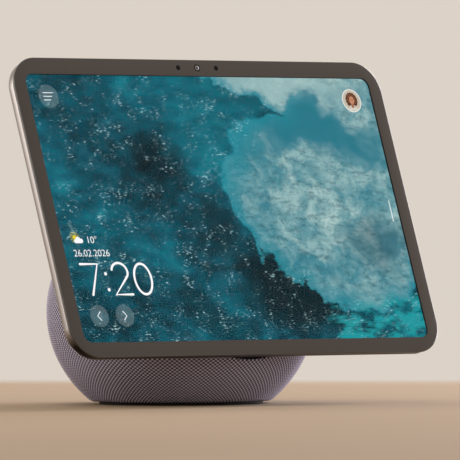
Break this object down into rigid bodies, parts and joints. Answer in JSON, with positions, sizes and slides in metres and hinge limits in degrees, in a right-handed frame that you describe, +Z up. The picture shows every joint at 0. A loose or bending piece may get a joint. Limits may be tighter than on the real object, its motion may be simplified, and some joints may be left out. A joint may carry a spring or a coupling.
{
  "type": "smart home hub",
  "caption": "Tabletop smart display: a wide touch screen leaning back, held in front of an oval knit-covered speaker base with a flat bottom.",
  "frame": {"origin": "on the table, under the middle of the whole object's bounding box", "axes": "+X to the viewer's right along the screen's width, +Y away from the viewer, +Z up"},
  "size_m": [0.2518, 0.1298, 0.1817],
  "materials": {
    "cover_glass": "polished cover glass with a warm black printed border",
    "screen_picture": "lit colour panel under the cover glass",
    "clear_film": "clear optical film",
    "satin_silver": "fine satin, anodised silver grey",
    "knit": "close polyester knit, purple grey",
    "black_plastic": "fine-grained moulded plastic",
    "black_rubber": "matt rubber",
    "black_foam": "closed-cell foam tape",
    "circuit_board": "solder mask",
    "sheet_steel": "rolled and plated",
    "cast_aluminium": "die cast",
    "ferrite": "sintered ferrite, ground faces",
    "cone_paper": "pressed paper pulp",
    "spider_cloth": "corrugated resin-dipped cloth",
    "amber_film": "polyimide film"
  },
  "bodies": {
    "hub": {"front_glass": "cover_glass", "touch_sensor": "clear_film", "lcd_panel": "screen_picture", "backlight_unit": "clear_film", "display_frame": "sheet_steel", "glass_adhesive_left": "black_foam", "glass_adhesive_right": "black_foam", "rear_housing": "satin_silver", "button_board": "circuit_board", "camera_module": "black_plastic", "light_sensor": "clear_film", "presence_sensor": "clear_film", "sensor_board": "amber_film", "microphone_left": "sheet_steel", "microphone_right": "sheet_steel", "main_board": "circuit_board", "processor_shield": "sheet_steel", "radio_shield": "sheet_steel", "heat_spreader": "cast_aluminium", "display_cable": "amber_film", "neck_bracket": "cast_aluminium", "neck_screw_1": "sheet_steel", "neck_screw_2": "sheet_steel", "neck_screw_3": "sheet_steel", "neck_screw_4": "sheet_steel", "neck_cable": "black_rubber", "knit_cover": "knit", "base_shell": "black_plastic", "base_front_plate": "black_plastic", "base_bottom_cover": "black_plastic", "bottom_screw_1": "sheet_steel", "bottom_screw_2": "sheet_steel", "bottom_screw_3": "sheet_steel", "bottom_screw_4": "sheet_steel", "foot_ring": "black_rubber", "inlet_bezel": "black_plastic", "power_board": "circuit_board", "ballast_plate": "sheet_steel", "power_jack": "black_plastic", "woofer_basket": "sheet_steel", "woofer_surround": "black_rubber", "woofer_spider": "spider_cloth", "woofer_magnet": "ferrite", "woofer_yoke": "sheet_steel", "left_driver_basket": "sheet_steel", "left_driver_surround": "black_rubber", "left_driver_motor": "ferrite", "right_driver_basket": "sheet_steel", "right_driver_surround": "black_rubber", "right_driver_motor": "ferrite"},
    "volume_up": {"volume_up_key": "satin_silver"},
    "volume_down": {"volume_down_key": "satin_silver"},
    "mic_camera": {"mic_camera_key": "satin_silver"},
    "woofer_moving": {"woofer_cone": "cone_paper", "woofer_dust_cap": "cone_paper", "woofer_voice_coil": "amber_film"},
    "left_driver_moving": {"left_driver_cone": "cone_paper"},
    "right_driver_moving": {"right_driver_cone": "cone_paper"}
  },
  "joints": [
    {"name": "volume_up_press", "type": "slide", "parent": "hub", "child": "volume_up", "axis": [-1, 0, 0], "range_m": [0, 0.0004], "stiffness_N_per_m": 800, "springref_m": -0.0006},
    {"name": "volume_down_press", "type": "slide", "parent": "hub", "child": "volume_down", "axis": [-1, 0, 0], "range_m": [0, 0.0004], "stiffness_N_per_m": 800, "springref_m": -0.0006},
    {"name": "mic_camera_press", "type": "slide", "parent": "hub", "child": "mic_camera", "axis": [-1, 0, 0], "range_m": [0, 0.0004], "stiffness_N_per_m": 800, "springref_m": -0.0006},
    {"name": "woofer_throw", "type": "slide", "parent": "hub", "child": "woofer_moving", "axis": [0, 1, 0], "range_m": [-0.0025, 0.0025], "stiffness_N_per_m": 1500, "deforming": ["woofer_surround", "woofer_spider"]},
    {"name": "left_driver_throw", "type": "slide", "parent": "hub", "child": "left_driver_moving", "axis": [-0.9063, -0.4226, 0], "range_m": [-0.0012, 0.0012], "stiffness_N_per_m": 1800, "deforming": ["left_driver_surround"]},
    {"name": "right_driver_throw", "type": "slide", "parent": "hub", "child": "right_driver_moving", "axis": [0.9063, -0.4226, 0], "range_m": [-0.0012, 0.0012], "stiffness_N_per_m": 1800, "deforming": ["right_driver_surround"]}
  ]
}
